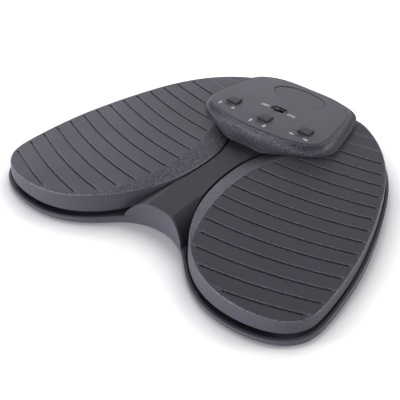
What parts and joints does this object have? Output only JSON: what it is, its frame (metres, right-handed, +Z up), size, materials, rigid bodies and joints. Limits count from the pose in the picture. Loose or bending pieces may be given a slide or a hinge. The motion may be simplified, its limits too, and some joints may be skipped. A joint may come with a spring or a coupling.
{
  "type": "foot pedal switch",
  "caption": "Low foot switch with side by side grooved treadles on a shared tray, a middle spine and a raised rear console with push buttons and a power slide.",
  "frame": {"origin": "on the floor, at the middle of the bounding box's underside", "axes": "+X to the user's right, +Y to the rear where the console is, +Z up from the floor; left and right match across X = 0"},
  "size_m": [0.2706, 0.2241, 0.0358],
  "materials": {
    "tray_plastic": "fine texture",
    "spine_plastic": "satin",
    "cover_plastic": "satin",
    "tread_plastic": "fine grain",
    "button_plastic": "satin",
    "knob_plastic": "satin",
    "plate_plastic": "gloss",
    "window_plastic": "clear, frosted",
    "lamp_resin": "moulded",
    "door_plastic": "fine texture",
    "foot_rubber": "matte",
    "pad_rubber": "matte",
    "screw_steel": "zinc plated",
    "pin_steel": "ground",
    "spring_steel": "drawn",
    "contact_steel": "nickel plated",
    "cell_wrap": "printed film over metal",
    "board_resin": "green lacquer",
    "switch_case": "moulded",
    "jack_steel": "plated",
    "stem_plastic": "moulded"
  },
  "bodies": {
    "base": {"base_tray": "tray_plastic", "spine_housing": "spine_plastic", "console_cover": "cover_plastic", "rubber_feet": "foot_rubber", "cover_screws": "screw_steel", "main_board": "board_resin", "button_switches": "switch_case", "light_windows": "window_plastic", "indicator_lamps": "lamp_resin", "power_switch_case": "switch_case", "oval_plate": "plate_plastic", "jack_board": "board_resin", "power_jack": "jack_steel", "stop_pads": "pad_rubber", "cell_contacts": "contact_steel", "left_cell": "cell_wrap", "right_cell": "cell_wrap", "left_hinge_pin": "pin_steel", "right_hinge_pin": "pin_steel", "left_pedal_switch": "switch_case", "right_pedal_switch": "switch_case", "left_return_spring": "spring_steel", "right_return_spring": "spring_steel"},
    "left_pedal": {"left_pedal": "tread_plastic"},
    "right_pedal": {"right_pedal": "tread_plastic"},
    "left_plunger": {"left_switch_plunger": "stem_plastic"},
    "right_plunger": {"right_switch_plunger": "stem_plastic"},
    "left_button": {"left_button_cap": "button_plastic", "left_button_stem": "stem_plastic"},
    "middle_button": {"middle_button_cap": "button_plastic", "middle_button_stem": "stem_plastic"},
    "right_button": {"right_button_cap": "button_plastic", "right_button_stem": "stem_plastic"},
    "power_knob": {"power_knob": "knob_plastic"},
    "battery_door": {"battery_door": "door_plastic"}
  },
  "joints": [
    {"name": "left_pedal_hinge", "type": "hinge", "parent": "base", "child": "left_pedal", "pos_m": [-0.055, 0.082, 0.0086], "axis": [1, 0, 0], "range_deg": [0, 1], "stiffness_Nm_per_rad": 8, "springref_deg": -1.72, "deforming": ["left_return_spring"]},
    {"name": "right_pedal_hinge", "type": "hinge", "parent": "base", "child": "right_pedal", "pos_m": [0.055, 0.082, 0.0086], "axis": [1, 0, 0], "range_deg": [0, 1], "stiffness_Nm_per_rad": 8, "springref_deg": -1.72, "deforming": ["right_return_spring"]},
    {"name": "left_plunger_slide", "type": "slide", "parent": "base", "child": "left_plunger", "axis": [0, 0, -1], "range_m": [0, 0.00161]},
    {"name": "right_plunger_slide", "type": "slide", "parent": "base", "child": "right_plunger", "axis": [0, 0, -1], "range_m": [0, 0.00161]},
    {"name": "left_button_press", "type": "slide", "parent": "base", "child": "left_button", "axis": [0, 0, -1], "range_m": [0, 0.0006], "stiffness_N_per_m": 300, "springref_m": -0.003},
    {"name": "middle_button_press", "type": "slide", "parent": "base", "child": "middle_button", "axis": [0, 0, -1], "range_m": [0, 0.0006], "stiffness_N_per_m": 300, "springref_m": -0.003},
    {"name": "right_button_press", "type": "slide", "parent": "base", "child": "right_button", "axis": [0, 0, -1], "range_m": [0, 0.0006], "stiffness_N_per_m": 300, "springref_m": -0.003},
    {"name": "power_slide", "type": "slide", "parent": "base", "child": "power_knob", "axis": [1, 0, 0], "range_m": [0, 0.004]},
    {"name": "battery_door_slide", "type": "slide", "parent": "base", "child": "battery_door", "axis": [0, -1, 0], "range_m": [0, 0.008]}
  ],
  "couplings": [
    {"joint": "left_plunger_slide", "follows": "left_pedal_hinge", "m_per_rad": 0.092},
    {"joint": "right_plunger_slide", "follows": "right_pedal_hinge", "m_per_rad": 0.092}
  ]
}
